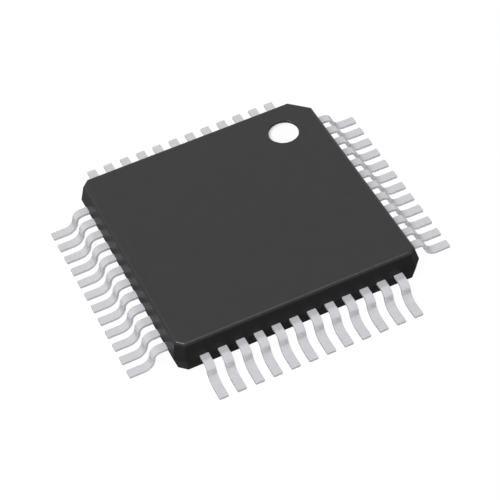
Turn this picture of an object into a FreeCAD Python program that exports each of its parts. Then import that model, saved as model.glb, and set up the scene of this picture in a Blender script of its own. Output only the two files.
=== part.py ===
import FreeCAD, Part
import math
import os
from enum import IntEnum

import Sketcher

# Thin quad flat pack chip: a moulded square body with a row of gull-wing leads on each side.
# Millimetres. The origin is the centre of the package on the seating plane, where the feet stand.
# +Z is up and the pin 1 corner is at (-X, +Y). Leads count counter-clockwise seen from above.

V = FreeCAD.Vector

# Driving dimensions, one row each: alias, value, meaning.
DRIVING_SIZES = (
    ("lead_pitch", 0.5, "distance between neighbouring lead centres"),
    ("leads_per_side", 12, "leads in each of the four rows"),
    ("corner_margin", 0.75, "last lead centre to the neighbouring side of the body"),
    ("standoff", 0.09, "seating plane to the underside of the body"),
    ("mould_below", 0.43, "underside of the body up to the parting plane"),
    ("mould_above", 0.52, "parting plane up to the top face"),
    ("upper_draft", 13.5, "draft of the upper side walls, degrees"),
    ("lower_draft", 13.3, "draft of the lower side walls, degrees"),
    ("corner_chamfer", 0.262, "leg of the three plain corner chamfers at the parting plane"),
    ("pin_one_chamfer", 0.57, "leg of the chamfer at the pin 1 corner"),
    ("top_edge_radius", 0.1, "round of the edges of the top face"),
    ("bottom_edge_radius", 0.03, "round of the edges of the underside"),
    ("dimple_diameter", 0.86, "pin 1 dimple, at its floor"),
    ("dimple_depth", 0.075, "pin 1 dimple, below the top face"),
    ("dimple_rim_radius", 0.03, "round of the dimple's rim"),
    ("dimple_inset_x", 1.143, "dimple centre to the side of the body in X"),
    ("dimple_inset_y", 1.219, "dimple centre to the side of the body in Y"),
    ("mark_thickness", 0.012, "ink that fills the floor of the dimple"),
    ("lead_width", 0.25, "width of a lead outside the body"),
    ("metal_thickness", 0.09, "sheet that leads, paddle and tie bars are stamped from"),
    ("shoulder_length", 0.19, "side of the body to the start of the upper bend"),
    ("upper_bend_radius", 0.21, "upper bend, at mid thickness"),
    ("lower_bend_radius", 0.315, "lower bend, at mid thickness"),
    ("bend_angle", 77.5, "slope of the lead between its bends, degrees"),
    ("foot_length", 0.395, "flat sole of a lead beyond its lower bend"),
    ("finger_straight", 0.3, "lead inside the body before it fans out"),
    ("finger_gap", 0.45, "edge of the paddle to the tips of the inner fingers"),
    ("finger_tip_width", 0.2, "width of an inner finger at its tip"),
    ("finger_corner_margin", 0.535, "last finger tip centre to the corner of the ring of tips"),
    ("die_side", 2.4, "silicon die, both ways"),
    ("die_thickness", 0.2, "silicon die"),
    ("die_attach_thickness", 0.02, "adhesive under the die"),
    ("die_attach_rim", 0.04, "adhesive that stands out around the die"),
    ("paddle_margin", 0.7, "edge of the die to the edge of the paddle"),
    ("downset", 0.15, "paddle below the plane of the leads"),
    ("tie_bar_width", 0.2, "the four bars that carry the paddle"),
    ("tie_bar_flat", 0.07, "tie bar from the paddle's corner to the foot of its ramp"),
    ("tie_bar_ramp", 0.2, "length of the ramp up to the plane of the leads"),
    ("tie_bar_cover", 0.25, "end of a tie bar to the pin 1 chamfer"),
    ("tie_bar_root", 0.3, "tie bar that lies within the paddle"),
    ("wire_diameter", 0.025, "gold bond wire"),
    ("wire_loop_height", 0.13, "ball to the corner of the wire's rise"),
    ("wire_bend_radius", 0.06, "bends of a bond wire at mid thickness"),
    ("ball_diameter", 0.07, "ball bond on the die"),
    ("ball_height", 0.02, "ball bond on the die"),
    ("stitch_diameter", 0.06, "stitch bond on the finger"),
    ("stitch_height", 0.03, "stitch bond on the finger"),
    ("stitch_inset", 0.12, "tip of a finger to the centre of its stitch bond"),
    ("bond_pad_inset", 0.12, "edge of the die to the row of ball bonds"),
    ("bond_corner_margin", 0.265, "last ball bond to the corner of the die"),
)

# Places and lengths that follow from the sheet, as expressions that features are bound to.
ROW_HALF = "((sizes.leads_per_side - 1) * sizes.lead_pitch / 2)"
BODY_HALF = f"({ROW_HALF} + sizes.corner_margin)"
LEAD_PLANE = "(sizes.standoff + sizes.mould_below)"
TOP_FACE = f"({LEAD_PLANE} + sizes.mould_above)"
PADDLE_HALF = "(sizes.die_side / 2 + sizes.paddle_margin)"
PADDLE_PLANE = f"({LEAD_PLANE} - sizes.downset)"
PADDLE_TOP = f"({PADDLE_PLANE} + sizes.metal_thickness / 2)"
FINGER_RING = f"({PADDLE_HALF} + sizes.finger_gap)"
FINGER_ROW_HALF = f"({FINGER_RING} - sizes.finger_corner_margin)"

# The slope of a lead, and the bends on it: together they leave at least this share of it straight.
SLOPE_DROP = f"({LEAD_PLANE} - sizes.metal_thickness / 2)"
STRAIGHT_SHARE = 0.05
BEND_ROOM = f"({SLOPE_DROP} / sin(sizes.bend_angle) * {1 - STRAIGHT_SHARE})"
BEND_TANGENTS = "((sizes.upper_bend_radius + sizes.lower_bend_radius) * tan(sizes.bend_angle / 2))"
BEND_LIMIT = f"min(1; {BEND_ROOM} / {BEND_TANGENTS})"

SKETCH_ORIGIN = -1
SIDES = 4


class On(IntEnum):
    """Which point of a sketched line or circle a constraint holds."""

    START = 1
    END = 2
    CENTRE = 3


def make_sheet(document):
    """Spreadsheet of the driving dimensions; returns their values by alias."""
    sheet = document.addObject("Spreadsheet::Sheet", "sizes")
    for row, (alias, value, meaning) in enumerate(DRIVING_SIZES, start=1):
        sheet.set(f"A{row}", meaning)
        sheet.set(f"B{row}", str(value))
        sheet.setAlias(f"B{row}", alias)
    document.recompute()
    return {alias: float(sheet.get(alias)) for alias, _, _ in DRIVING_SIZES}


def new_body(document, label):
    """Body for one sub-part, labelled with its name."""
    body = document.addObject("PartDesign::Body", label)
    body.Label = label
    return body


def origin_feature(body, role):
    """Plane or axis of the body's own origin."""
    return next(feature for feature in body.Origin.OriginFeatures if feature.Role == role)


def new_sketch(body, name, role, raised="0", turned=0):
    """Sketch on an origin plane, raised along its normal and turned about its vertical."""
    sketch = body.newObject("Sketcher::SketchObject", name)
    sketch.AttachmentSupport = (origin_feature(body, role), [""])
    sketch.MapMode = "FlatFace"
    sketch.AttachmentOffset = FreeCAD.Placement(V(), FreeCAD.Rotation(V(0, 1, 0), turned))
    sketch.setExpression("AttachmentOffset.Base.z", raised)
    return sketch


def place_point(name, geometry, point, x, y):
    """Constraints that fix one point of a sketch at a pair of expressions, by their names."""
    bound = {}
    for kind, expression in (("DistanceX", x), ("DistanceY", y)):
        constraint = Sketcher.Constraint(kind, SKETCH_ORIGIN, On.START, geometry, point, 0.0)
        constraint.Name = f"{name}_{kind}"
        bound[constraint.Name] = (constraint, expression)
    return bound


def constrain(sketch, joined, bound):
    """Add the constraints that join geometry, and those that are bound to expressions."""
    sketch.addConstraint(joined + [constraint for constraint, _ in bound.values()])
    for name, (_, expression) in bound.items():
        sketch.setExpression(f"Constraints.{name}", expression)


def draw_outline(sketch, corners):
    """Closed outline of straight lines through corners given as pairs of expressions."""
    count = len(corners)
    ring = [math.tau * i / count for i in range(count)]
    points = [V(math.cos(angle), math.sin(angle), 0) for angle in ring]
    after = [(i + 1) % count for i in range(count)]
    sketch.addGeometry([Part.LineSegment(points[i], points[after[i]]) for i in range(count)])
    joined = [Sketcher.Constraint("Coincident", i, On.END, after[i], On.START) for i in range(count)]
    bound = {}
    for i, (x, y) in enumerate(corners):
        bound |= place_point(f"corner_{i}", i, On.START, x, y)
    constrain(sketch, joined, bound)


def draw_circle(sketch, x, y, radius):
    """Circle whose centre and radius are expressions."""
    sketch.addGeometry(Part.Circle(V(), V(0, 0, 1), 1))
    bound = place_point("centre", 0, On.CENTRE, x, y)
    size = Sketcher.Constraint("Radius", 0, 1.0)
    size.Name = "radius"
    bound[size.Name] = (size, radius)
    constrain(sketch, [], bound)


def pad(body, sketch, name, length, both_ways=False):
    """Pad of the sketch, along its normal or half to each side of it."""
    feature = body.newObject("PartDesign::Pad", name)
    feature.Profile = sketch
    feature.setExpression("Length", length)
    feature.Midplane = both_ways
    feature.Document.recompute([sketch, feature])
    return feature


def fillet(body, name, edges, radius):
    """Fillet of some of the tip's edges, given by their index."""
    base = body.Tip
    feature = body.newObject("PartDesign::Fillet", name)
    feature.Base = (base, [f"Edge{index + 1}" for index in edges])
    feature.setExpression("Radius", radius)
    feature.Document.recompute([feature])
    return feature


def corner_edges(shape, corner):
    """Indices of the edges that run straight across the lead at one corner of its profile."""
    near = 1e-4
    found = []
    for index, edge in enumerate(shape.Edges):
        if all(math.hypot(v.X - corner.x, v.Z - corner.z) < near for v in edge.Vertexes):
            found.append(index)
    return found


def outline_edges_at(shape, height):
    """Indices of the edges that lie all round a flat face at this height."""
    near = 1e-4
    return [i for i, edge in enumerate(shape.Edges) if all(abs(v.Z - height) < near for v in edge.Vertexes)]


def octagon_corners():
    """Corners of the body's outline at the parting plane, with the pin 1 chamfer at (-X, +Y)."""
    corners = []
    for sign_x, sign_y, leg in ((1, 1, "corner"), (-1, 1, "pin_one"), (-1, -1, "corner"), (1, -1, "corner")):
        on_x_side = (f"{sign_x} * {BODY_HALF}", f"{sign_y} * ({BODY_HALF} - sizes.{leg}_chamfer)")
        on_y_side = (f"{sign_x} * ({BODY_HALF} - sizes.{leg}_chamfer)", f"{sign_y} * {BODY_HALF}")
        corners += [on_x_side, on_y_side] if sign_x == sign_y else [on_y_side, on_x_side]
    return corners


def upright_faces(shape):
    """Names of the flat faces that stand straight up."""
    level = 1e-6
    return [f"Face{i + 1}" for i, face in enumerate(shape.Faces) if abs(face.normalAt(0, 0).z) < level]


def drafted_half(body, outline, parting, name, depth, draft, downwards):
    """Half of the body on one side of the parting plane, narrower away from it."""
    half = pad(body, outline, name, depth)
    half.Reversed = downwards
    half.Document.recompute([half])
    walls = body.newObject("PartDesign::Draft", f"{name}_draft")
    walls.Base = (half, upright_faces(half.Shape))
    walls.NeutralPlane = (parting, [""])
    walls.Reversed = downwards
    walls.setExpression("Angle", draft)
    walls.Document.recompute([walls])


def make_mould_blank(document, size):
    """Outside of the moulded body: two drafted halves, rounded edges and the pin 1 dimple."""
    body = new_body(document, "mould_blank")
    parting = body.newObject("PartDesign::Plane", "parting_plane")
    parting.AttachmentSupport = (origin_feature(body, "XY_Plane"), [""])
    parting.MapMode = "FlatFace"
    parting.setExpression("AttachmentOffset.Base.z", LEAD_PLANE)
    outline = new_sketch(body, "parting_outline", "XY_Plane", LEAD_PLANE)
    draw_outline(outline, octagon_corners())
    document.recompute([parting, outline])
    drafted_half(body, outline, parting, "upper_half", "sizes.mould_above", "sizes.upper_draft", False)
    drafted_half(body, outline, parting, "lower_half", "sizes.mould_below", "sizes.lower_draft", True)

    underside = size["standoff"]
    top = underside + size["mould_below"] + size["mould_above"]
    fillet(body, "top_edge", outline_edges_at(body.Tip.Shape, top), "sizes.top_edge_radius")
    fillet(body, "bottom_edge", outline_edges_at(body.Tip.Shape, underside), "sizes.bottom_edge_radius")

    circle = new_sketch(body, "dimple_outline", "XY_Plane", TOP_FACE)
    centre_x = f"sizes.dimple_inset_x - {BODY_HALF}"
    centre_y = f"{BODY_HALF} - sizes.dimple_inset_y"
    draw_circle(circle, centre_x, centre_y, "sizes.dimple_diameter / 2")
    dimple = body.newObject("PartDesign::Pocket", "pin_one_dimple")
    dimple.Profile = circle
    dimple.setExpression("Length", "sizes.dimple_depth")
    document.recompute([circle, dimple])
    edges = dimple.Shape.Edges
    rim = [i for i in outline_edges_at(dimple.Shape, top) if edges[i].isClosed()]
    fillet(body, "dimple_rim", rim, "min(sizes.dimple_rim_radius; sizes.dimple_depth / 2)")
    return body


def make_mark(document):
    """White ink that fills the floor of the pin 1 dimple."""
    mark = document.addObject("Part::Cylinder", "pin_1_mark")
    mark.Label = "pin_1_mark"
    mark.setExpression("Radius", "sizes.dimple_diameter / 2")
    mark.setExpression("Height", "sizes.mark_thickness")
    mark.setExpression("Placement.Base.x", f"sizes.dimple_inset_x - {BODY_HALF}")
    mark.setExpression("Placement.Base.y", f"{BODY_HALF} - sizes.dimple_inset_y")
    mark.setExpression("Placement.Base.z", f"{TOP_FACE} - sizes.dimple_depth")
    return mark


def make_die_pad(document):
    """Copper paddle under the die, with the four tie bars that held it in the lead frame."""
    body = new_body(document, "die_pad")
    square = new_sketch(body, "paddle_outline", "XY_Plane", PADDLE_PLANE)
    signs = ((1, 1), (-1, 1), (-1, -1), (1, -1))
    draw_outline(square, [(f"{x} * {PADDLE_HALF}", f"{y} * {PADDLE_HALF}") for x, y in signs])
    pad(body, square, "paddle", "sizes.metal_thickness", both_ways=True)

    # One bar in the upright plane through a corner: level, up the ramp, and level again.
    paddle_corner = f"{PADDLE_HALF} * sqrt(2)"
    half_sheet = "sizes.metal_thickness / 2"
    ramp_foot = f"{paddle_corner} + sizes.tie_bar_flat"
    ramp_head = f"{ramp_foot} + sizes.tie_bar_ramp"
    bar_end = f"(2 * {BODY_HALF} - sizes.pin_one_chamfer) / sqrt(2) - sizes.tie_bar_cover"
    # Moves the ramp's corners apart so that the bar is as thick on its ramp as on its flats.
    shift = f"{half_sheet} * tan(atan(sizes.downset / sizes.tie_bar_ramp) / 2)"
    line = new_sketch(body, "tie_bar_profile", "XZ_Plane", turned=45)
    draw_outline(line, [
        (f"{paddle_corner} - sizes.tie_bar_root", f"{PADDLE_PLANE} - {half_sheet}"),
        (f"{ramp_foot} + {shift}", f"{PADDLE_PLANE} - {half_sheet}"),
        (f"{ramp_head} + {shift}", f"{LEAD_PLANE} - {half_sheet}"),
        (bar_end, f"{LEAD_PLANE} - {half_sheet}"),
        (bar_end, f"{LEAD_PLANE} + {half_sheet}"),
        (f"{ramp_head} - {shift}", f"{LEAD_PLANE} + {half_sheet}"),
        (f"{ramp_foot} - {shift}", f"{PADDLE_PLANE} + {half_sheet}"),
        (f"{paddle_corner} - sizes.tie_bar_root", f"{PADDLE_PLANE} + {half_sheet}"),
    ])
    bar = pad(body, line, "tie_bar", "sizes.tie_bar_width", both_ways=True)

    bars = body.newObject("PartDesign::PolarPattern", "tie_bars")
    bars.Originals = [bar]
    bars.Axis = (origin_feature(body, "Z_Axis"), [""])
    bars.Occurrences = SIDES
    body.Tip = bars
    return body


def make_box(document, label, half, thickness, bottom):
    """Square block centred on the origin, from expressions."""
    box = document.addObject("Part::Box", label)
    box.Label = label
    for length, place in (("Length", "x"), ("Width", "y")):
        box.setExpression(length, f"2 * {half}")
        box.setExpression(f"Placement.Base.{place}", f"-{half}")
    box.setExpression("Height", thickness)
    box.setExpression("Placement.Base.z", bottom)
    return box


def make_die_attach(document):
    """Layer of adhesive between paddle and die."""
    half = "(sizes.die_side / 2 + sizes.die_attach_rim)"
    return make_box(document, "die_attach", half, "sizes.die_attach_thickness", PADDLE_TOP)


def make_die(document):
    """Silicon die."""
    bottom = f"{PADDLE_TOP} + sizes.die_attach_thickness"
    return make_box(document, "silicon_die", "(sizes.die_side / 2)", "sizes.die_thickness", bottom)


def lead_profile():
    """Side outline of a lead outside the body, seen along its row.

    Each corner is its place out from the body and its height, and the radius that rounds it, if
    any. They run from the top of the shoulder outwards and back underneath.
    """
    half_sheet = "sizes.metal_thickness / 2"
    half_turn = "tan(sizes.bend_angle / 2)"
    root = f"({BODY_HALF} - sizes.finger_straight)"
    upper_corner = f"({BODY_HALF} + sizes.shoulder_length + sizes.upper_bend_radius * {half_turn})"
    lower_corner = f"({upper_corner} + {SLOPE_DROP} / tan(sizes.bend_angle))"
    toe = f"({lower_corner} + sizes.lower_bend_radius * {half_turn} + sizes.foot_length)"
    shift = f"{half_sheet} * {half_turn}"
    above, below = f"{LEAD_PLANE} + {half_sheet}", f"{LEAD_PLANE} - {half_sheet}"
    upper_bend = f"sizes.upper_bend_radius * {BEND_LIMIT}"
    lower_bend = f"sizes.lower_bend_radius * {BEND_LIMIT}"
    return [
        (root, above, None),
        (f"{upper_corner} + {shift}", above, f"{upper_bend} + {half_sheet}"),
        (f"{lower_corner} + {shift}", "sizes.metal_thickness", f"{lower_bend} - {half_sheet}"),
        (toe, "sizes.metal_thickness", None),
        (toe, "0", None),
        (f"{lower_corner} - {shift}", "0", f"{lower_bend} + {half_sheet}"),
        (f"{upper_corner} - {shift}", below, f"{upper_bend} - {half_sheet}"),
        (root, below, None),
    ]


def make_lead(document, number, place, side):
    """One lead, stamped and bent from sheet: gull wing outside, flat finger inside the body.

    It is drawn on the +X side, in its place along the row, and turned about Z to its own side.
    """
    body = new_body(document, f"lead_{number:02d}")
    share = f"(2 * {place} / (sizes.leads_per_side - 1) - 1)"
    along = f"({share} * {ROW_HALF})"
    finger_along = f"({share} * {FINGER_ROW_HALF})"

    profile = new_sketch(body, "wing_profile", "XZ_Plane", f"-{along}")
    corners = lead_profile()
    draw_outline(profile, [(out, height) for out, height, _ in corners])
    pad(body, profile, "wing", "sizes.lead_width", both_ways=True)
    for index, (_, _, radius) in enumerate(corners):
        if radius:
            corner = profile.Placement.multVec(profile.Geometry[index].StartPoint)
            fillet(body, f"bend_{index}", corner_edges(body.Tip.Shape, corner), radius)

    plan = new_sketch(body, "finger_plan", "XY_Plane", LEAD_PLANE)
    root = f"({BODY_HALF} - sizes.finger_straight)"
    draw_outline(plan, [
        (root, f"{along} - sizes.lead_width / 2"),
        (root, f"{along} + sizes.lead_width / 2"),
        (FINGER_RING, f"{finger_along} + sizes.finger_tip_width / 2"),
        (FINGER_RING, f"{finger_along} - sizes.finger_tip_width / 2"),
    ])
    pad(body, plan, "finger", "sizes.metal_thickness", both_ways=True)
    body.Placement.Rotation = FreeCAD.Rotation(V(0, 0, 1), 360 * side / SIDES)
    return body


def make_leads(document, size):
    """All leads: pin 1 at the +Y end of the -X side, then counter-clockwise."""
    per_side = int(size["leads_per_side"])
    leads = []
    for index in range(SIDES * per_side):
        turn, place = divmod(index, per_side)
        leads.append(make_lead(document, index + 1, place, turn + SIDES // 2))
    return leads


def rounded_path(points, radius):
    """Wire of straight runs through the points, joined by tangent arcs."""
    edges = []
    last = points[0]
    for before, corner, after in zip(points, points[1:], points[2:]):
        back = (before - corner).normalize()
        ahead = (after - corner).normalize()
        half_opening = back.getAngle(ahead) / 2
        reach = radius / math.tan(half_opening)
        bisector = (back + ahead).normalize()
        middle = corner + bisector * (radius / math.sin(half_opening) - radius)
        entry, leave = corner + back * reach, corner + ahead * reach
        edges.append(Part.makeLine(last, entry))
        edges.append(Part.Arc(entry, middle, leave).toShape())
        last = leave
    edges.append(Part.makeLine(last, points[-1]))
    return Part.Wire(edges)


def flattened_ball(diameter, height, base):
    """Ball bond pressed flat: the middle zone of a sphere, standing on base."""
    radius = diameter / 2
    latitude = math.degrees(math.asin(height / diameter))
    centre = base + V(0, 0, height / 2)
    return Part.makeSphere(radius, centre, V(0, 0, 1), -latitude, latitude, 360)


def bond_wire(start, end, size):
    """One wire with its bonds, from the top of the die to the top of a finger."""
    ball = flattened_ball(size["ball_diameter"], size["ball_height"], start)
    stitch = flattened_ball(size["stitch_diameter"], size["stitch_height"], end)
    rise = start + V(0, 0, size["ball_height"])
    landing = end + V(0, 0, size["stitch_height"] / 2)
    level = V(end.x - start.x, end.y - start.y, 0).normalize()
    touch_down = landing - level * (size["stitch_diameter"] / 2 + size["wire_bend_radius"] / 2)
    points = [rise, rise + V(0, 0, size["wire_loop_height"]), touch_down, landing]
    path = rounded_path(points, size["wire_bend_radius"])
    section = Part.Wire(Part.makeCircle(size["wire_diameter"] / 2, rise, V(0, 0, 1)))
    return path.makePipeShell([section], True, False).fuse([ball, stitch])


def make_bond_wires(document, size):
    """Gold wires from the die's pads to the inner fingers, one for each lead."""
    per_side = int(size["leads_per_side"])
    lead_plane = size["standoff"] + size["mould_below"]
    half_sheet = size["metal_thickness"] / 2
    die_half = size["die_side"] / 2
    die_top = (lead_plane - size["downset"] + half_sheet
               + size["die_attach_thickness"] + size["die_thickness"])
    ring = die_half + size["paddle_margin"] + size["finger_gap"]
    stitch_reach = ring + size["stitch_inset"]
    root = (per_side - 1) * size["lead_pitch"] / 2 + size["corner_margin"] - size["finger_straight"]
    stitch_share = size["stitch_inset"] / (root - ring)
    wires = []
    for place in range(per_side):
        share = 2 * place / (per_side - 1) - 1
        pad_along = share * (die_half - size["bond_corner_margin"])
        tip_along = share * (ring - size["finger_corner_margin"])
        root_along = share * (per_side - 1) * size["lead_pitch"] / 2
        stitch_along = tip_along + (root_along - tip_along) * stitch_share
        start = V(die_half - size["bond_pad_inset"], pad_along, die_top)
        end = V(stitch_reach, stitch_along, lead_plane + half_sheet)
        wires.append(bond_wire(start, end, size))
    turned = []
    for side in range(SIDES):
        turned += [wire.rotated(V(), V(0, 0, 1), 360 * side / SIDES) for wire in wires]
    feature = document.addObject("Part::Feature", "bond_wires")
    feature.Label = "bond_wires"
    feature.Shape = Part.makeCompound(turned)
    feature.Placement = FreeCAD.Placement()
    return feature


def make_mould_body(document, size, inserts):
    """Moulded body: the blank, less all that the compound flowed round."""
    blank = make_mould_blank(document, size)
    cavity = document.addObject("Part::Compound", "cavity")
    cavity.Links = inserts
    mould = document.addObject("Part::Cut", "mould_body")
    mould.Label = "mould_body"
    mould.Base = blank
    mould.Tool = cavity
    mould.Refine = False
    return mould


def check_document(document, sub_parts):
    """Stop unless every object was computed and every sub-part has a valid solid."""
    for item in document.Objects:
        if "Invalid" in item.State or "Error" in item.State:
            raise RuntimeError(f"{item.Label}: {item.State}")
    for item in sub_parts:
        if item.Shape.isNull() or not item.Shape.isValid() or not item.Shape.Solids:
            raise RuntimeError(f"{item.Label} has no valid solid")


def main():
    """Build the chip and write one file for each sub-part."""
    document = FreeCAD.newDocument("flat_pack_chip")
    size = make_sheet(document)
    leads = make_leads(document, size)
    buried = [make_die_pad(document), make_die_attach(document), make_die(document)]
    wires = make_bond_wires(document, size)
    document.recompute()
    mould = make_mould_body(document, size, leads + buried + [wires])
    sub_parts = [mould, make_mark(document), *buried, wires, *leads]
    document.recompute()
    check_document(document, sub_parts)
    os.makedirs("parts", exist_ok=True)
    for item in sub_parts:
        item.Shape.exportStep(f"parts/{item.Label}.step")


main()
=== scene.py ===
"""Looks of a thin quad flat pack chip: fine meshes, finishes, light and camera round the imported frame."""

import logging
import math
from collections.abc import Callable, Sequence
from dataclasses import dataclass, field
from enum import Enum

import bmesh
import bpy
from mathutils import Matrix, Vector
from mathutils.geometry import delaunay_2d_cdt


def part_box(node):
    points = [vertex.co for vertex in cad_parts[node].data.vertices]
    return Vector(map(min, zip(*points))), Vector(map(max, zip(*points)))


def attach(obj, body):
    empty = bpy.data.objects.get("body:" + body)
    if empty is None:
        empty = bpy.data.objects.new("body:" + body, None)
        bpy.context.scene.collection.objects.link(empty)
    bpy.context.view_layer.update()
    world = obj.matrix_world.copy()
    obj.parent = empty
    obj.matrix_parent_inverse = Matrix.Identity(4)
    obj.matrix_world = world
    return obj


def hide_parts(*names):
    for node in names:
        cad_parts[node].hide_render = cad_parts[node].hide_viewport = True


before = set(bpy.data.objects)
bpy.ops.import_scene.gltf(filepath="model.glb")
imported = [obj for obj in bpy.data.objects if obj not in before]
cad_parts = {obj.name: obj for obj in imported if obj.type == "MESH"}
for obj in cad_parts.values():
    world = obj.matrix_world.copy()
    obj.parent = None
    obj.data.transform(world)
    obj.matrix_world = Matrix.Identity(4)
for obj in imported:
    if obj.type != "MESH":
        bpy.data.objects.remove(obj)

LOG = logging.getLogger("chip")
MM = 0.001
ROOT_BODY = "root"

Point2 = tuple[float, float]
Colour = tuple[float, float, float]
# Value and result at the low end of a range, and at its high end.
Span = tuple[Point2, Point2]
# Point and unit normal of each vertex.
Ring = list[tuple[Vector, Vector]]
NodeTree = bpy.types.NodeTree
Socket = bpy.types.NodeSocket


class Slot(Enum):
    """Material slots of the record."""

    MOULD = "mould_compound"
    INK = "white_ink"
    TIN = "tin_plate"
    COPPER = "copper_alloy"
    ADHESIVE = "silver_epoxy"
    SILICON = "silicon"
    GOLD = "gold"


class Side(Enum):
    """Sides of the body in counting order, as the turn in degrees that brings +X to each."""

    LEFT = 180
    FRONT = 270
    RIGHT = 0
    BACK = 90


def grey(level: float) -> Colour:
    """Neutral linear colour."""
    return (level, level, level)


def rgba(colour: Colour) -> tuple[float, float, float, float]:
    """Colour with full alpha."""
    return (*colour, 1.0)


# Geometry helpers


@dataclass
class Skin:
    """Closed surface in millimetres whose vertices carry their own normals."""

    points: list[Vector] = field(default_factory=list)
    normals: list[Vector] = field(default_factory=list)
    faces: list[tuple[int, ...]] = field(default_factory=list)

    def ring(self, samples: Ring) -> list[int]:
        """Add a ring of points with normals.

        Args:
            samples: Point and unit normal of each vertex.

        Returns:
            Indices of the new vertices.
        """
        first = len(self.points)
        for point, normal in samples:
            self.points.append(point)
            self.normals.append(normal)
        return list(range(first, len(self.points)))

    def join(self, lower: Sequence[int], upper: Sequence[int]) -> None:
        """Join two rings of the same count with quads.

        Args:
            lower: Vertices of one ring.
            upper: Vertices of the other, in the same order.
        """
        count = len(lower)
        for i in range(count):
            after = (i + 1) % count
            self.faces.append((lower[i], lower[after], upper[after], upper[i]))

    def cap(self, ring: Sequence[int]) -> None:
        """Close a ring with one flat face."""
        self.faces.append(tuple(ring))

    def tube(self, rings: Sequence[Ring]) -> None:
        """Skin a run of rings and close both of its ends.

        Args:
            rings: Point and unit normal of each vertex, ring by ring.
        """
        indices = [self.ring(samples) for samples in rings]
        for lower, upper in zip(indices, indices[1:]):
            self.join(lower, upper)
        self.cap(indices[0])
        self.cap(indices[-1])

    def build(self, name: str, turn: float = 0.0) -> bpy.types.Object:
        """Make the object, in metres.

        Args:
            name: Name of the piece.
            turn: Turn about the upright axis, in degrees.

        Returns:
            The linked object, which rides on the part's body.
        """
        mesh = bpy.data.meshes.new(name)
        mesh.from_pydata(self.points, [], self.faces)
        shape = bmesh.new()
        shape.from_mesh(mesh)
        bmesh.ops.recalc_face_normals(shape, faces=shape.faces)
        shape.to_mesh(mesh)
        shape.free()
        spin = Matrix.Rotation(math.radians(turn), 4, "Z")
        mesh.transform(spin @ Matrix.Scale(MM, 4))
        mesh.shade_smooth()
        mesh.normals_split_custom_set_from_vertices([spin @ normal for normal in self.normals])
        piece = bpy.data.objects.new(name, mesh)
        bpy.context.scene.collection.objects.link(piece)
        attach(piece, ROOT_BODY)
        return piece


def arc_steps(count: int, first: float = 0.0, last: float = math.pi / 2) -> list[float]:
    """Angles in radians that divide an arc into count equal steps, both ends included."""
    return [first + (last - first) * i / count for i in range(count + 1)]


def rounded_section(half_width: float, half_height: float, radius: float,
                    steps: int) -> list[tuple[Point2, Point2]]:
    """Rectangle with round corners.

    Args:
        half_width: Half of its width.
        half_height: Half of its height.
        radius: Radius of the corners.
        steps: Straight pieces in each corner.

    Returns:
        Point and outward normal of each vertex, counter-clockwise.
    """
    corners = ((1, 1), (-1, 1), (-1, -1), (1, -1))
    section = []
    for quarter, (sign_x, sign_y) in enumerate(corners):
        centre = (sign_x * (half_width - radius), sign_y * (half_height - radius))
        for angle in arc_steps(steps, quarter * math.pi / 2, (quarter + 1) * math.pi / 2):
            normal = (math.cos(angle), math.sin(angle))
            section.append(((centre[0] + radius * normal[0], centre[1] + radius * normal[1]), normal))
    return section


# Shader helpers


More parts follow.
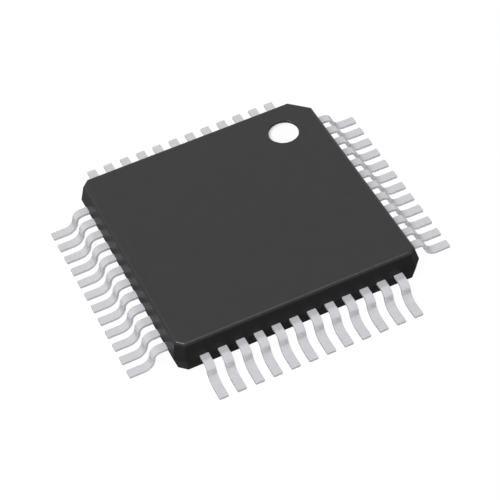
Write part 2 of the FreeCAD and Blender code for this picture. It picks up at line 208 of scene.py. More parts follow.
@dataclass
class Shader:
    """Short ways to place and link nodes in one material or group."""

    tree: NodeTree

    def add(self, kind: str, **settings: object) -> bpy.types.Node:
        """Place a node and set its attributes.

        Args:
            kind: Node type.
            **settings: Attributes of the node and their values.

        Returns:
            The node.
        """
        node = self.tree.nodes.new(kind)
        for name, value in settings.items():
            setattr(node, name, value)
        return node

    def feed(self, socket: Socket, value: Socket | float | Sequence[float]) -> None:
        """Link a socket to another, or set its plain value.

        Args:
            socket: Input socket.
            value: Output socket to link, or the value.
        """
        if isinstance(value, bpy.types.NodeSocket):
            self.tree.links.new(value, socket)
        else:
            socket.default_value = value

    def maths(self, operation: str, *values: Socket | float, clamp: bool = False) -> Socket:
        """Work on one to three values.

        Args:
            operation: What the node works out.
            *values: Its inputs, in order.
            clamp: Whether the result is kept between 0 and 1.

        Returns:
            The result.
        """
        node = self.add("ShaderNodeMath", operation=operation, use_clamp=clamp)
        for socket, value in zip(node.inputs, values):
            self.feed(socket, value)
        return node.outputs[0]

    def spread(self, value: Socket, low: Point2, high: Point2) -> Socket:
        """Map a value from one range to another, clamped.

        Args:
            value: The value.
            low: Lower end of the range before and after.
            high: Upper end of the range before and after.

        Returns:
            The mapped value.
        """
        node = self.add("ShaderNodeMapRange")
        numbers = (low[0], high[0], low[1], high[1])
        self.feed(node.inputs["Value"], value)
        for name, number in zip(("From Min", "From Max", "To Min", "To Max"), numbers):
            node.inputs[name].default_value = number
        return node.outputs["Result"]

    def pick(self, factor: Socket, first: Socket | float, second: Socket | float) -> Socket:
        """Value between two others.

        Args:
            factor: 0 for the first value, 1 for the second.
            first: Value where the factor is 0.
            second: Value where the factor is 1.

        Returns:
            The value.
        """
        node = self.add("ShaderNodeMix", data_type="FLOAT")
        for socket, value in zip([s for s in node.inputs if s.type == "VALUE"], (factor, first, second)):
            self.feed(socket, value)
        return node.outputs["Result"]

    def blend(self, factor: Socket, first: Socket | Colour, second: Socket | Colour) -> Socket:
        """Colour between two others.

        Args:
            factor: 0 for the first colour, 1 for the second.
            first: Colour where the factor is 0.
            second: Colour where the factor is 1.

        Returns:
            The colour.
        """
        node = self.add("ShaderNodeMix", data_type="RGBA")
        self.feed(node.inputs["Factor"], factor)
        for name, colour in (("A", first), ("B", second)):
            socket = next(s for s in node.inputs if s.name == name and s.type == "RGBA")
            self.feed(socket, rgba(colour) if isinstance(colour, tuple) else colour)
        return next(s for s in node.outputs if s.type == "RGBA")

    def upward(self) -> Socket:
        """How far the surface faces up, before its relief.

        Returns:
            1 for a level top, 0 for an upright face and -1 for an underside.
        """
        facing = self.add("ShaderNodeTexCoord")
        parts = self.add("ShaderNodeSeparateXYZ")
        self.feed(parts.inputs[0], facing.outputs["Normal"])
        return parts.outputs["Z"]

    def height(self) -> Socket:
        """Height of the place over the seating plane.

        Returns:
            The height in millimetres.
        """
        parts = self.add("ShaderNodeSeparateXYZ")
        self.feed(parts.inputs[0], self.millimetres())
        return parts.outputs["Z"]

    def millimetres(self) -> Socket:
        """Place on the object, whose origin is the part's own.

        Returns:
            The place in millimetres.
        """
        place = self.add("ShaderNodeTexCoord")
        scaled = self.add("ShaderNodeVectorMath", operation="SCALE")
        self.feed(scaled.inputs[0], place.outputs["Object"])
        scaled.inputs["Scale"].default_value = 1 / MM
        return scaled.outputs[0]

    def noise(self, place: Socket, scale: Socket | float, detail: float) -> Socket:
        """Noise that varies over the surface.

        Args:
            place: Place in millimetres.
            scale: Features in a millimetre.
            detail: Octaves.

        Returns:
            The value, around a half.
        """
        node = self.add("ShaderNodeTexNoise")
        self.feed(node.inputs["Vector"], place)
        self.feed(node.inputs["Scale"], scale)
        node.inputs["Detail"].default_value = detail
        return node.outputs["Fac"]


def shared_group(name: str, inputs: dict[str, float], outputs: Sequence[str],
                 fill: Callable[[Shader, bpy.types.Node, bpy.types.Node], None]) -> NodeTree:
    """Shader node group, built the first time it is asked for.

    Args:
        name: Name of the group.
        inputs: Float inputs and their defaults.
        outputs: Float outputs.
        fill: Function that places the nodes between the group's input and output nodes.

    Returns:
        The group.
    """
    group = bpy.data.node_groups.get(name)
    if group is None:
        group = bpy.data.node_groups.new(name, "ShaderNodeTree")
        for title, value in inputs.items():
            socket = group.interface.new_socket(title, in_out="INPUT", socket_type="NodeSocketFloat")
            socket.default_value = value
        for title in outputs:
            group.interface.new_socket(title, in_out="OUTPUT", socket_type="NodeSocketFloat")
        shader = Shader(group)
        fill(shader, shader.add("NodeGroupInput"), shader.add("NodeGroupOutput"))
    return group


FINE_OCTAVES = 3.0
SLOW_OCTAVES = 2.0


def fill_grain(shader: Shader, given: bpy.types.Node, result: bpy.types.Node) -> None:
    """Fine moulded grain: small pits over a slower unevenness.

    Args:
        shader: Helper on the group's nodes.
        given: The group's input node.
        result: The group's output node.
    """
    place = shader.millimetres()
    fine = shader.noise(place, given.outputs["Fineness"], FINE_OCTAVES)
    slow = shader.noise(place, given.outputs["Spread"], SLOW_OCTAVES)
    height = shader.maths("ADD", fine, shader.maths("MULTIPLY", slow, given.outputs["Unevenness"]))
    shader.feed(result.inputs["Height"], height)
    shader.feed(result.inputs["Mottle"], slow)
    shader.feed(result.inputs["Speck"], fine)


# How far a surface faces up, and the mask there: a round starts past the walls and ends before the top.
PAST_WALLS: Span = ((0.35, 0.0), (0.5, 1.0))
BEFORE_TOP: Span = ((0.93, 1.0), (0.99, 0.0))


def fill_rounded_edges(shader: Shader, given: bpy.types.Node, result: bpy.types.Node) -> None:
    """Mask of the round between the side walls and a face that looks up.

    Args:
        shader: Helper on the group's nodes.
        given: The group's input node.
        result: The group's output node.
    """
    upward = shader.upward()
    mask = shader.maths("MULTIPLY", shader.spread(upward, *PAST_WALLS), shader.spread(upward, *BEFORE_TOP))
    shader.feed(result.inputs["Mask"], shader.maths("MULTIPLY", mask, given.outputs["Strength"]))


def grain(shader: Shader, fineness: float, spread: float, unevenness: float) -> bpy.types.Node:
    """Place the grain group with its own values.

    Args:
        shader: Material that it goes into.
        fineness: Pits in a millimetre.
        spread: Slow patches in a millimetre.
        unevenness: Weight of the slow patches in the height.

    Returns:
        The group's node, with outputs Height, Mottle and Speck.
    """
    values = {"Fineness": fineness, "Spread": spread, "Unevenness": unevenness}
    node = shader.add("ShaderNodeGroup")
    node.node_tree = shared_group("grain", values, ("Height", "Mottle", "Speck"), fill_grain)
    for name, value in values.items():
        node.inputs[name].default_value = value
    return node


@dataclass(frozen=True)
class Finish:
    """Finish of one material: colours between which it varies, gloss, and the grain of its surface.

    Fineness and spread are features to the millimetre, and the relief is in millimetres. The mottle maps the
    slow noise to the share of the light colour, and the specks are the values of the fine noise where each
    roughness holds.
    """

    slot: Slot
    light: Colour
    dark: Colour
    roughness: Point2
    metallic: float = 0.0
    specular: float = 0.5
    fineness: float = 40.0
    spread: float = 2.0
    unevenness: float = 0.5
    relief: float = 0.0005
    relief_strength: float = 0.3
    mottle: Span = ((0.35, 0.0), (0.65, 1.0))
    specks: Point2 = (0.3, 0.7)

    def material(self) -> bpy.types.Material:
        """Material of this finish, built the first time it is asked for.

        Returns:
            The material.
        """
        name = f"{self.slot.value}_finish"
        material = bpy.data.materials.get(name)
        if material is None:
            material = bpy.data.materials.new(name)
            material.use_nodes = True
            self.dress(Shader(material.node_tree), material.node_tree.nodes["Principled BSDF"])
        return material

    def colour(self, shader: Shader, texture: bpy.types.Node) -> Socket:
        """Base colour, which drifts slowly between the two.

        Args:
            shader: Helper on the material's nodes.
            texture: Node of the grain.

        Returns:
            The colour.
        """
        share = shader.spread(texture.outputs["Mottle"], *self.mottle)
        return shader.blend(share, self.dark, self.light)

    def dress(self, shader: Shader, surface: bpy.types.Node) -> None:
        """Feed the surface shader.

        Args:
            shader: Helper on the material's nodes.
            surface: The material's surface shader.
        """
        texture = grain(shader, self.fineness, self.spread, self.unevenness)
        shader.feed(surface.inputs["Base Color"], self.colour(shader, texture))
        rough = shader.spread(texture.outputs["Speck"], *zip(self.specks, self.roughness))
        shader.feed(surface.inputs["Roughness"], rough)
        surface.inputs["Metallic"].default_value = self.metallic
        surface.inputs["Specular IOR Level"].default_value = self.specular
        bump = shader.add("ShaderNodeBump")
        bump.inputs["Strength"].default_value = self.relief_strength
        bump.inputs["Distance"].default_value = self.relief * MM
        shader.feed(bump.inputs["Height"], texture.outputs["Height"])
        shader.feed(surface.inputs["Normal"], bump.outputs["Normal"])

    def apply(self, piece: bpy.types.Object) -> None:
        """Give the piece this finish.

        Args:
            piece: Piece to dress.
        """
        piece.data.materials.clear()
        piece.data.materials.append(self.material())


@dataclass(frozen=True)
class MouldFinish(Finish):
    """Matt moulding compound whose rounded edges are burnished by handling.

    Level maps how far a surface faces up or down to the share of the top's colour over the walls' colour. The
    walls' colour is painted shade: the walls are painted darker than the top for the light that falls on
    them.
    """

    # Painted shade: the walls' colour, darker than the top's, stands in for the shade on the body's walls and
    # the dimple's wall.
    wall: Colour = grey(0.006)
    polish: float = 0.12
    polish_gloss: float = 0.2
    polish_index: float = 1.7
    level: Span = ((0.6, 0.0), (0.95, 1.0))

    def colour(self, shader: Shader, texture: bpy.types.Node) -> Socket:
        """Base colour: the walls are painted darker as shade, and the matt top and underside keep the paler
        colour.

        Args:
            shader: Helper on the material's nodes.
            texture: Node of the grain.

        Returns:
            The colour.
        """
        # Painted shade: faces that stand upright take the darker wall colour.
        facing = shader.maths("ABSOLUTE", shader.upward())
        return shader.blend(shader.spread(facing, *self.level), self.wall, super().colour(shader, texture))

    def dress(self, shader: Shader, surface: bpy.types.Node) -> None:
        """Feed the surface shader, with a coat on the rounded edges only.

        Args:
            shader: Helper on the material's nodes.
            surface: The material's surface shader.
        """
        super().dress(shader, surface)
        edges = shader.add("ShaderNodeGroup")
        strength = {"Strength": self.polish}
        edges.node_tree = shared_group("rounded_edges", strength, ("Mask",), fill_rounded_edges)
        edges.inputs["Strength"].default_value = self.polish
        shader.feed(surface.inputs["Coat Weight"], edges.outputs["Mask"])
        surface.inputs["Coat Roughness"].default_value = self.polish_gloss
        surface.inputs["Coat IOR"].default_value = self.polish_index


@dataclass(frozen=True)
class TinFinish(Finish):
    """Tin plate whose upright faces are darker, partly the dull edges where the strip was trimmed and partly
    painted shade, with a darker band on the slope that is partly a mark of the bending tool and partly a
    painted reflection.

    The band's foot and head map the height in millimetres to its strength, and upright maps how far a surface
    faces up or down to the share of the darker upright colour.
    """

    # Darker colour of the upright faces: partly the dull trimmed edge, partly painted shade on the lead's
    # sides.
    cut_and_shade: Colour = (0.53, 0.53, 0.545)
    # Colour of the band on the slope: partly the bending tool's mark, partly a painted reflection of darker
    # surroundings.
    marked: Colour = (0.615, 0.602, 0.602)
    mark_reflection_foot: Span = ((0.225, 0.0), (0.24, 1.0))
    mark_reflection_head: Span = ((0.32, 1.0), (0.36, 0.0))
    mark_reflection_wander: float = 0.18
    mark_reflection_fineness: float = 11.0
    noise_middle: float = 0.5
    upright: Span = ((0.1, 1.0), (0.19, 0.0))

    def colour(self, shader: Shader, texture: bpy.types.Node) -> Socket:
        """Base colour with the darker upright faces, partly trimmed edges and partly painted shade, and the
        band on the slope, partly the tool's mark and partly a painted reflection.

        Args:
            shader: Helper on the material's nodes.
            texture: Node of the grain.

        Returns:
            The colour.
        """
        plate = super().colour(shader, texture)
        noise = shader.noise(shader.millimetres(), self.mark_reflection_fineness, SLOW_OCTAVES)
        wander = shader.maths("SUBTRACT", noise, self.noise_middle)
        height = shader.maths("MULTIPLY_ADD", wander, self.mark_reflection_wander, shader.height())
        foot, head = shader.spread(height, *self.mark_reflection_foot), shader.spread(height, *self.mark_reflection_head)
        # Painted reflection and tool mark: the darker band on the slope.
        plate = shader.blend(shader.maths("MULTIPLY", foot, head), plate, self.marked)
        # Painted shade and trimmed edges: the upright faces take the darker colour.
        facing = shader.maths("ABSOLUTE", shader.upward())
        return shader.blend(shader.spread(facing, *self.upright), plate, self.cut_and_shade)


MOULD_FINISH = MouldFinish(Slot.MOULD, light=grey(0.0225), dark=grey(0.0205), roughness=(0.3, 0.36),
                           specular=0.36)
INK_FINISH = Finish(Slot.INK, light=grey(0.97), dark=grey(0.94), roughness=(0.6, 0.75), specular=0.2,
                    fineness=12.0)
TIN_FINISH = TinFinish(Slot.TIN, light=(0.635, 0.638, 0.668), dark=(0.615, 0.618, 0.648),
                       roughness=(0.16, 0.24), metallic=0.25, fineness=30.0, spread=5.0)
COPPER_FINISH = Finish(Slot.COPPER, light=(0.74, 0.44, 0.31), dark=(0.66, 0.36, 0.24),
                       roughness=(0.25, 0.4), metallic=1.0)
ADHESIVE_FINISH = Finish(Slot.ADHESIVE, light=grey(0.58), dark=grey(0.48), roughness=(0.4, 0.6), metallic=0.4)
SILICON_FINISH = Finish(Slot.SILICON, light=(0.17, 0.18, 0.23), dark=(0.13, 0.14, 0.18),
                        roughness=(0.08, 0.14), metallic=0.6)
GOLD_FINISH = Finish(Slot.GOLD, light=(0.96, 0.73, 0.34), dark=(0.9, 0.64, 0.26), roughness=(0.2, 0.3),
                     metallic=1.0)


# The moulded body


@dataclass(frozen=True)
class MouldOutline:
    """Octagon of the body at the parting plane, and its inward offsets. Millimetres."""

    half: float
    corner_leg: float = 0.262
    pin_one_leg: float = 0.57
    plan_radius: float = 0.035
    plan_steps: int = 4

    def corners(self, inset: float) -> list[Point2]:
        """Corners of the octagon when each of its sides moves in.

        Args:
            inset: How far the sides move in.

        Returns:
            The corners, counter-clockwise from the +X side.
        """
        shrink = (2 - math.sqrt(2)) * inset
        half = self.half - inset
        plain, marked = self.corner_leg - shrink, self.pin_one_leg - shrink
        return [
            (half, half - plain), (half - plain, half), (marked - half, half), (-half, half - marked),
            (-half, plain - half), (plain - half, -half), (half - plain, -half), (half, plain - half),
        ]

    def ring(self, inset: float, height: float, lean: float) -> Ring:
        """Ring of points round the body.

        Args:
            inset: How far it lies inside the outline.
            height: Height over the seating plane.
            lean: Elevation of the surface normal, in radians.

        Returns:
            Point and normal of each vertex.
        """
        samples = []
        eighth = math.pi / 4
        for index, (x, y) in enumerate(self.corners(inset + self.plan_radius)):
            for angle in arc_steps(self.plan_steps, index * eighth, (index + 1) * eighth):
                out = (math.cos(angle), math.sin(angle))
                point = Vector((x + self.plan_radius * out[0], y + self.plan_radius * out[1], height))
                normal = Vector((out[0] * math.cos(lean), out[1] * math.cos(lean), math.sin(lean)))
                samples.append((point, normal))
        return samples


@dataclass(frozen=True)
class Dimple:
    """Round recess that marks the first pin. Millimetres."""

    inset_x: float = 1.143
    inset_y: float = 1.219
    radius: float = 0.43
    depth: float = 0.075
    rim_radius: float = 0.03
    floor_radius: float = 0.012
    sides: int = 96
    steps: int = 5

    def centre(self, half: float) -> Point2:
        """Centre in plan, from half of the body's side."""
        return (self.inset_x - half, half - self.inset_y)

    def ring(self, half: float, radius: float, height: float, lean: float) -> Ring:
        """Ring of points about the centre of the recess.

        Args:
            half: Half of the body's side.
            radius: Radius of the ring.
            height: Height over the seating plane.
            lean: Elevation of the surface normal in radians, 0 where the surface faces inwards.

        Returns:
            Point and normal of each vertex.
        """
        x, y = self.centre(half)
        samples = []
        for index in range(self.sides):
            angle = math.tau * index / self.sides
            out = (math.cos(angle), math.sin(angle))
            point = Vector((x + radius * out[0], y + radius * out[1], height))
            normal = Vector((-out[0] * math.cos(lean), -out[1] * math.cos(lean), math.sin(lean)))
            samples.append((point, normal))
        return samples

    def rings(self, half: float, top: float) -> list[Ring]:
        """Rings of the recess.

        Args:
            half: Half of the body's side.
            top: Height of the body's top face.

        Returns:
            Rings from the rim on the top face down to the edge of the floor.
        """
        floor = top - self.depth
        rings = []
        for angle in arc_steps(self.steps):
            radius = self.radius + self.rim_radius * (1 - math.sin(angle))
            height = top - self.rim_radius * (1 - math.cos(angle))
            rings.append(self.ring(half, radius, height, math.pi / 2 - angle))
        for angle in arc_steps(self.steps):
            radius = self.radius - self.floor_radius * (1 - math.cos(angle))
            height = floor + self.floor_radius * (1 - math.sin(angle))
            rings.append(self.ring(half, radius, height, angle))
        return rings


@dataclass
class MouldedBody:
    """The moulded body and the ink in its dimple. Millimetres and degrees.

    The ink is level out to the flat share of its radius, and climbs from there to its rim by the given power.
    The rings of its climb and its middle ring are shares of its radius too.
    """

    upper_draft: float = 13.5
    lower_draft: float = 13.3
    parting_height: float = 0.52
    top_edge: float = 0.1
    bottom_edge: float = 0.03
    parting_edge: float = 0.006
    edge_steps: int = 6
    parting_steps: int = 2
    ink_thickness: float = 0.006
    ink_rim: float = 0.02
    ink_flat: float = 0.72
    ink_power: int = 3
    ink_climb: tuple[float, ...] = (1.0, 0.97, 0.94, 0.9, 0.85, 0.79)
    ink_middle: float = 0.4
    dimple: Dimple = field(default_factory=Dimple)

    def __post_init__(self) -> None:
        """Take the body's size from the frame.

        The outline follows from half of its width, and the flat faces from its lowest and highest point.
        """
        low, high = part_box("mould_body")
        self.outline = MouldOutline(half=high.x / MM)
        self.bottom = low.z / MM
        self.top = high.z / MM

    def wall_rings(self) -> list[Ring]:
        """Rings of the outside: both drafted walls and the rounds between them and the flat faces.

        Returns:
            Rings from the edge of the underside up to the edge of the top face.
        """
        lower = math.radians(self.lower_draft)
        upper = math.radians(self.upper_draft)
        rings = []
        foot_inset = (self.parting_height - self.bottom) * math.tan(lower)
        head_inset = (self.top - self.parting_height) * math.tan(upper)
        # Each edge arc is tangent to its wall and to the flat face beyond it.
        reach = self.bottom_edge * math.tan((math.pi / 2 - lower) / 2)
        for lean in arc_steps(self.edge_steps, -math.pi / 2, -lower):
            inset = foot_inset + reach - self.bottom_edge * math.cos(lean)
            height = self.bottom + self.bottom_edge * (1 + math.sin(lean))
            rings.append(self.outline.ring(inset, height, lean))
        for lean in arc_steps(self.parting_steps, -lower, upper):
            inset = self.parting_edge * (1 - math.cos(lean))
            height = self.parting_height + self.parting_edge * math.sin(lean)
            rings.append(self.outline.ring(inset, height, lean))
        reach = self.top_edge * math.tan((math.pi / 2 - upper) / 2)
        for lean in arc_steps(self.edge_steps, upper, math.pi / 2):
            inset = head_inset + reach - self.top_edge * math.cos(lean)
            height = self.top - self.top_edge * (1 - math.sin(lean))
            rings.append(self.outline.ring(inset, height, lean))
        return rings

    def fill_top(self, skin: Skin, edge: Sequence[int], rim: Sequence[int]) -> None:
        """Fill the top face between its edge and the rim of the dimple with triangles.

        Args:
            skin: Surface that gets the triangles.
            edge: Vertices of the face's edge.
            rim: Vertices of the dimple's rim.
        """
        indices = [*edge, *rim]
        flat = [skin.points[i].xy for i in indices]
        loops = (range(len(edge)), range(len(edge), len(indices)))
        lines = [(loop[i], loop[(i + 1) % len(loop)]) for loop in loops for i in range(len(loop))]
        inside_only, merge_distance = 1, 1e-6
        _, _, triangles, sources, _, _ = delaunay_2d_cdt(flat, lines, [], inside_only, merge_distance)
        centre = Vector(self.dimple.centre(self.outline.half))
        hole = self.dimple.radius + self.dimple.rim_radius / 2
        for triangle in triangles:
            corners = [sources[i][0] for i in triangle]
            middle = sum((flat[i] for i in corners), Vector((0, 0))) / len(corners)
            if (middle - centre).length > hole:
                skin.faces.append(tuple(indices[i] for i in corners))

    def build_mould(self) -> bpy.types.Object:
        """Mould with fine edges.

        Returns:
            The piece.
        """
        skin = Skin()
        walls = [skin.ring(samples) for samples in self.wall_rings()]
        recess = [skin.ring(samples) for samples in self.dimple.rings(self.outline.half, self.top)]
        for rings in (walls, recess):
            for lower, upper in zip(rings, rings[1:]):
                skin.join(lower, upper)
        skin.cap(walls[0])
        skin.cap(recess[-1])
        self.fill_top(skin, walls[-1], recess[0])
        piece = skin.build("mould")
        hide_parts("mould_body")
        MOULD_FINISH.apply(piece)
        return piece

    def build_ink(self) -> bpy.types.Object:
        """Ink on the floor of the dimple, drawn up a little where it meets the wall.

        Returns:
            The piece.
        """
        low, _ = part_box("pin_1_mark")
        floor = low.z / MM
        edge = self.dimple.radius - self.dimple.floor_radius
        skin = Skin()
        rings = [self.dimple.ring(self.outline.half, edge, floor, -math.pi / 2)]
        rise = self.ink_rim - self.ink_thickness
        span = edge * (1 - self.ink_flat)
        for share in (*self.ink_climb, self.ink_flat, self.ink_middle):
            climb = max(share - self.ink_flat, 0.0) / (1 - self.ink_flat)
            height = floor + self.ink_thickness + rise * climb**self.ink_power
            slope = math.atan(self.ink_power * rise * climb ** (self.ink_power - 1) / span)
            rings.append(self.dimple.ring(self.outline.half, edge * share, height, math.pi / 2 - slope))
        skin.tube(rings)
        piece = skin.build("first_pin_ink")
        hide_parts("pin_1_mark")
        INK_FINISH.apply(piece)
        return piece

    def build(self) -> list[bpy.types.Object]:
        """Mould and ink."""
        return [self.build_mould(), self.build_ink()]


# The leads


@dataclass(frozen=True)
class Station:
    """One cross-section of a lead: place in its own side's plane, slope, place along the row, half width."""

    out: float
    height: float
    slope: float
    along: float
    half_width: float


@dataclass
class LeadRow:
    """All leads, each swept along its bent centreline with rounded edges. Millimetres and degrees."""

    per_side: int = 12
    pitch: float = 0.5
    width: float = 0.25
    thickness: float = 0.09
    plane: float = 0.52
    shoulder: float = 0.19
    upper_bend: float = 0.21
    lower_bend: float = 0.315
    bend_angle: float = 77.5
    finger_straight: float = 0.3
    finger_row_half: float = 1.815
    finger_tip_width: float = 0.2
    edge_radius: float = 0.018
    edge_steps: int = 4
    bend_steps: int = 16

    def __post_init__(self) -> None:
        """Take the body's side, the toes and the finger tips from the frame.

        The lead that is measured lies on the +X side, so its span in X runs from its finger tip to its toe.
        """
        _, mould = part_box("mould_body")
        low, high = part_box("lead_30")
        self.body_half = mould.x / MM
        self.tip_ring = low.x / MM
        self.toe = high.x / MM

    def bend(self, start: Point2, radius: float, slopes: Point2) -> list[tuple[float, float, float]]:
        """Points of one bend of the centreline.

        Args:
            start: Where it starts.
            radius: Radius at mid thickness.
            slopes: Downward slope at its start and end, in radians.

        Returns:
            Place, height and slope of each point after the first.
        """
        first, last = slopes
        turn = 1 if last > first else -1
        points = []
        for slope in arc_steps(self.bend_steps, first, last)[1:]:
            out = start[0] + turn * radius * (math.sin(slope) - math.sin(first))
            height = start[1] + turn * radius * (math.cos(slope) - math.cos(first))
            points.append((out, height, slope))
        return points

    def stations(self, place: int) -> list[Station]:
        """Cross-sections of one lead.

        Args:
            place: Its place in the row, from 0.

        Returns:
            The cross-sections, from the finger's tip to the toe.
        """
        share = 2 * place / (self.per_side - 1) - 1
        along = share * (self.per_side - 1) * self.pitch / 2
        half = self.width / 2
        steep = math.radians(self.bend_angle)
        shoulder_end = self.body_half + self.shoulder
        upper = self.bend((shoulder_end, self.plane), self.upper_bend, (0.0, steep))
        drop = self.lower_bend * (1 - math.cos(steep))
        foot = self.thickness / 2
        run = (upper[-1][1] - foot - drop) / math.sin(steep)
        slope_end = (upper[-1][0] + run * math.cos(steep), upper[-1][1] - run * math.sin(steep))
        lower = self.bend(slope_end, self.lower_bend, (steep, 0.0))
        line = [(shoulder_end, self.plane, 0.0), *upper, (*slope_end, steep), *lower]
        stations = [
            Station(self.tip_ring, self.plane, 0.0, share * self.finger_row_half, self.finger_tip_width / 2),
            Station(self.body_half - self.finger_straight, self.plane, 0.0, along, half),
        ]
        stations += [Station(out, height, slope, along, half) for out, height, slope in line]
        stations.append(Station(self.toe, foot, 0.0, along, half))
        return stations

    def section(self, station: Station, shift: float, inset: float, tilt: float) -> Ring:
        """Ring of a lead at a station.

        Args:
            station: The cross-section.
            shift: How far the ring lies beyond the station along the lead.
            inset: How far it lies inside the full section.
            tilt: Angle by which its normals lean along the lead, in radians.

        Returns:
            Point and normal of each vertex.
        """
        ahead = Vector((math.cos(station.slope), 0.0, -math.sin(station.slope)))
        up = Vector((math.sin(station.slope), 0.0, math.cos(station.slope)))
        across = Vector((0.0, 1.0, 0.0))
        centre = Vector((station.out, station.along, station.height)) + ahead * shift
        radius = max(self.edge_radius - inset, 0.0)
        half_width, half_height = station.half_width - inset, self.thickness / 2 - inset
        outline = rounded_section(half_width, half_height, radius, self.edge_steps)
        samples = []
        for (x, y), (nx, ny) in outline:
            flank = across * nx + up * ny
            normal = flank * math.cos(tilt) + ahead * math.sin(tilt)
            samples.append((centre + across * x + up * y, normal))
        return samples

    def end_rings(self, station: Station, outward: int) -> list[Ring]:
        """Rings that round off an end of a lead.

        Args:
            station: Cross-section at the end.
            outward: 1 at the toe, -1 at the finger's tip.

        Returns:
            Rings from the full section out to the end.
        """
        rings = []
        for angle in arc_steps(self.edge_steps):
            shift = outward * self.edge_radius * (math.sin(angle) - 1)
            inset = self.edge_radius * (1 - math.cos(angle))
            rings.append(self.section(station, shift, inset, outward * angle))
        return rings

    def build_lead(self, number: int, place: int, side: Side) -> bpy.types.Object:
        """One lead.

        Args:
            number: Its pin number.
            place: Its place in the row, from 0.
            side: Side of the body that it is on.

        Returns:
            The piece.
        """
        stations = self.stations(place)
        rings = self.end_rings(stations[0], -1)[::-1]
        rings += [self.section(station, 0.0, 0.0, 0.0) for station in stations[1:-1]]
        rings += self.end_rings(stations[-1], 1)
        skin = Skin()
        skin.tube(rings)
        piece = skin.build(f"pin_{number:02d}", side.value)
        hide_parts(f"lead_{number:02d}")
        TIN_FINISH.apply(piece)
        return piece

    def build(self) -> list[bpy.types.Object]:
        """Every lead, in pin order."""
        places = [(side, place) for side in Side for place in range(self.per_side)]
        return [self.build_lead(i + 1, place, side) for i, (side, place) in enumerate(places)]


@dataclass
class SealedPieces:
    """Pieces that the mould hides: they keep their own meshes and get their finishes."""

    finishes: dict[str, Finish] = field(default_factory=lambda: {
        "die_pad": COPPER_FINISH,
        "die_attach": ADHESIVE_FINISH,
        "silicon_die": SILICON_FINISH,
        "bond_wires": GOLD_FINISH,
    })

    def build(self) -> list[bpy.types.Object]:
        """Dress each piece.

        Returns:
            The pieces.
        """
        pieces = []
        for node, finish in self.finishes.items():
            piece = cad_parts[node]
            piece.data.materials.clear()
            piece.data.materials.append(finish.material())
            pieces.append(piece)
        return pieces


# Studio


@dataclass(frozen=True)
class Lamp:
    """Round soft lamp that shines at the middle of the part. Degrees, metres, watts.

    Where a piece is named, the light falls on that piece alone, or else spares it alone.
    """

    name: str
    azimuth: float
    elevation: float
    distance: float
    size: float
    power: float
    lights: bool = True
    glints: bool = True
    piece: str = ""
    spares: bool = False

    def build(self) -> None:
        """Place the lamp.

        It faces the middle of the part, and its light is linked to the named piece or kept off it.
        """
        light = bpy.data.lights.new(self.name, "AREA")
        light.shape = "DISK"
        light.size = self.size
        light.energy = self.power
        lamp = bpy.data.objects.new(self.name, light)
        lamp.visible_diffuse = self.lights
        lamp.visible_glossy = self.glints
        if self.piece:
            linked = bpy.data.collections.new(f"{self.name}_piece")
            linked.objects.link(bpy.data.objects[self.piece])
            linked.collection_objects[0].light_linking.link_state = "EXCLUDE" if self.spares else "INCLUDE"
            lamp.light_linking.receiver_collection = linked
        back = direction(self.azimuth, self.elevation)
        lamp.location = back * self.distance
        lamp.rotation_mode = "QUATERNION"
        lamp.rotation_quaternion = back.to_track_quat("Z", "Y")
        bpy.context.scene.collection.objects.link(lamp)


def direction(azimuth: float, elevation: float) -> Vector:
    """Unit vector from the part towards a place: azimuth 0 is -Y and 90 is +X. Degrees."""
    turn, rise = math.radians(azimuth), math.radians(elevation)
    return Vector((math.sin(turn) * math.cos(rise), -math.cos(turn) * math.cos(rise), math.sin(rise)))


@dataclass(frozen=True)
class Viewpoint:
    """Camera at the photograph's angle. Degrees, millimetres, and pixels of its 500 pixel frame."""

    azimuth: float = 70.94
    elevation: float = 46.78
    roll: float = -7.68
    distance: float = 48.98
    target: tuple[float, float, float] = (0.939, -0.289, 0.7)
    focal_px: float = 1863.4
    frame_px: float = 500.0
    sensor: float = 36.0

    def build(self) -> None:
        """Place the camera and make it the scene's own.

        It stands at the distance from the target along the given direction, about which the roll turns it.
        """
        back = direction(self.azimuth, self.elevation)
        turn = math.radians(self.azimuth)
        level = Vector((math.cos(turn), math.sin(turn), 0.0))
        upward = back.cross(level)
        roll = math.radians(self.roll)
        right = level * math.cos(roll) + upward * math.sin(roll)
        up = upward * math.cos(roll) - level * math.sin(roll)
        place = (Vector(self.target) + back * self.distance) * MM
        camera = bpy.data.cameras.new("camera")
        camera.sensor_width = self.sensor
        camera.sensor_fit = "HORIZONTAL"
        camera.lens = self.focal_px / self.frame_px * self.sensor
        camera.clip_start = MM
        holder = bpy.data.objects.new("camera", camera)
        holder.matrix_world = Matrix.Translation(place) @ Matrix((right, up, back)).transposed().to_4x4()
        bpy.context.scene.collection.objects.link(holder)
        bpy.context.scene.camera = holder


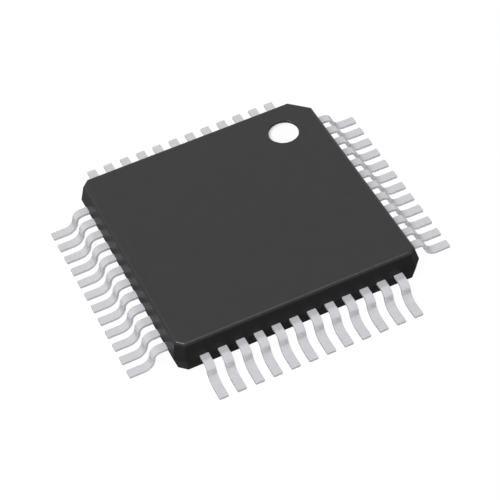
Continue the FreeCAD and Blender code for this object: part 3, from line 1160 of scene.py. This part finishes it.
@dataclass
class Studio:
    """Pale floor, white surroundings and soft lamps.

    Near and far are distances on the floor in millimetres, with the light there. The sky's light is that at
    the horizon and at the zenith.
    """

    floor_half: float = 400.0
    floor_seen: float = 0.95
    floor_colour: float = 0.06
    # Glow of the floor in reflections, dimmed close to the part: a painted shadow of the part, centred on the
    # middle.
    mirrored_shadow_middle: Point2 = (1.2, 0.6)
    mirrored_near: Point2 = (3.4, 0.02)
    mirrored_far: Point2 = (9.0, 0.6)
    bounce_near: Point2 = (3.2, 2.58)
    bounce_far: Point2 = (4.4, 1.22)
    sky_seen: float = 1.0
    sky_mirrored: float = 0.81
    sky_light: Point2 = (0.226, 0.845)
    lamps: tuple[Lamp, ...] = (
        Lamp("key", azimuth=30.0, elevation=60.0, distance=0.25, size=0.12, power=0.307, glints=False,
             piece="first_pin_ink", spares=True),
        Lamp("ink_key", azimuth=-45.0, elevation=38.0, distance=0.25, size=0.12, power=0.432, glints=False,
             piece="first_pin_ink"),
        Lamp("corner_glint", azimuth=-33.0, elevation=72.0, distance=0.25, size=0.1, power=0.28, lights=False,
             piece="mould"),
        Lamp("edge_glint", azimuth=170.0, elevation=77.0, distance=0.25, size=0.06, power=0.045, lights=False,
             piece="mould"),
    )

    def choose(self, shader: Shader, strengths: dict[str, Socket | float], otherwise: Socket) -> Socket:
        """Strength that depends on the kind of ray.

        Args:
            shader: Helper on the material's nodes.
            strengths: Strength for each named kind of ray.
            otherwise: Strength for all other rays.

        Returns:
            The strength.
        """
        path = shader.add("ShaderNodeLightPath")
        for ray, strength in strengths.items():
            otherwise = shader.pick(path.outputs[ray], otherwise, strength)
        return otherwise

    def around(self, shader: Shader, near: Point2, far: Point2, middle: Point2 = (0.0, 0.0)) -> Socket:
        """Light of the floor towards the part, which differs between the floor close to it and further out.

        Args:
            shader: Helper on the material's nodes.
            near: Distance from the middle in millimetres up to which the near light holds, and that light.
            far: Distance from which the far light holds, and that light.
            middle: Place that the distances start from, in millimetres.

        Returns:
            The light.
        """
        parts = shader.add("ShaderNodeSeparateXYZ")
        shader.feed(parts.inputs[0], shader.millimetres())
        reach = [shader.maths("ABSOLUTE", shader.maths("SUBTRACT", parts.outputs[axis], place))
                 for axis, place in zip(("X", "Y"), middle)]
        return shader.spread(shader.maths("MAXIMUM", *reach), near, far)

    def build_floor(self) -> None:
        """Floor that glows white to the eye and still takes the part's shadow.

        The part mirrors a floor darker than the eye sees, with a painted shadow of the part close by, and the
        floor close by lights the feet from below.
        """
        half = self.floor_half * MM
        corners = [(-half, -half, 0), (half, -half, 0), (half, half, 0), (-half, half, 0)]
        mesh = bpy.data.meshes.new("floor")
        mesh.from_pydata(corners, [], [(0, 1, 2, 3)])
        floor = bpy.data.objects.new("floor", mesh)
        bpy.context.scene.collection.objects.link(floor)
        material = bpy.data.materials.new("pale_floor")
        material.use_nodes = True
        shader = Shader(material.node_tree)
        material.node_tree.nodes.remove(material.node_tree.nodes["Principled BSDF"])
        glow = shader.add("ShaderNodeEmission")
        # Painted shadow: the glow that reflections see is dimmed close to the part.
        mirrored = self.around(shader, self.mirrored_near, self.mirrored_far, self.mirrored_shadow_middle)
        strengths: dict[str, Socket | float] = {"Is Glossy Ray": mirrored}
        strengths |= dict.fromkeys(("Is Camera Ray", "Is Transmission Ray"), self.floor_seen)
        bounce = self.around(shader, self.bounce_near, self.bounce_far)
        shader.feed(glow.inputs["Strength"], self.choose(shader, strengths, bounce))
        paint = shader.add("ShaderNodeBsdfDiffuse")
        paint.inputs["Color"].default_value = rgba(grey(self.floor_colour))
        both = shader.add("ShaderNodeAddShader")
        shader.feed(both.inputs[0], glow.outputs[0])
        shader.feed(both.inputs[1], paint.outputs[0])
        shader.feed(material.node_tree.nodes["Material Output"].inputs["Surface"], both.outputs[0])
        mesh.materials.append(material)

    def build_sky(self) -> None:
        """White surroundings that show at full strength and light the part from above.

        Their light grows from the horizon to the zenith.
        """
        world = bpy.data.worlds.new("white_room")
        world.use_nodes = True
        shader = Shader(world.node_tree)
        facing = shader.add("ShaderNodeTexCoord")
        parts = shader.add("ShaderNodeSeparateXYZ")
        shader.feed(parts.inputs[0], facing.outputs["Generated"])
        light = shader.spread(parts.outputs["Z"], (0.0, self.sky_light[0]), (1.0, self.sky_light[1]))
        strengths: dict[str, Socket | float] = {"Is Glossy Ray": self.sky_mirrored}
        strengths |= dict.fromkeys(("Is Camera Ray", "Is Transmission Ray"), self.sky_seen)
        background = world.node_tree.nodes["Background"]
        shader.feed(background.inputs["Strength"], self.choose(shader, strengths, light))
        background.inputs["Color"].default_value = rgba(grey(1.0))
        bpy.context.scene.world = world

    def build(self) -> None:
        """Set up the studio.

        The floor comes first, then the surroundings, the lamps and the view transform.
        """
        self.build_floor()
        self.build_sky()
        for lamp in self.lamps:
            lamp.build()
        bpy.context.scene.view_settings.view_transform = "Standard"


def main() -> None:
    """Build the view, the part and the studio in order, and report each piece.
    """
    logging.basicConfig(level=logging.INFO, format="%(message)s")
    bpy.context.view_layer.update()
    Viewpoint().build()
    for assembly in (MouldedBody(), LeadRow(), SealedPieces()):
        for piece in assembly.build():
            LOG.info("%s: %s, %d faces", type(assembly).__name__, piece.name, len(piece.data.polygons))
    Studio().build()


if __name__ == "__main__":
    main()
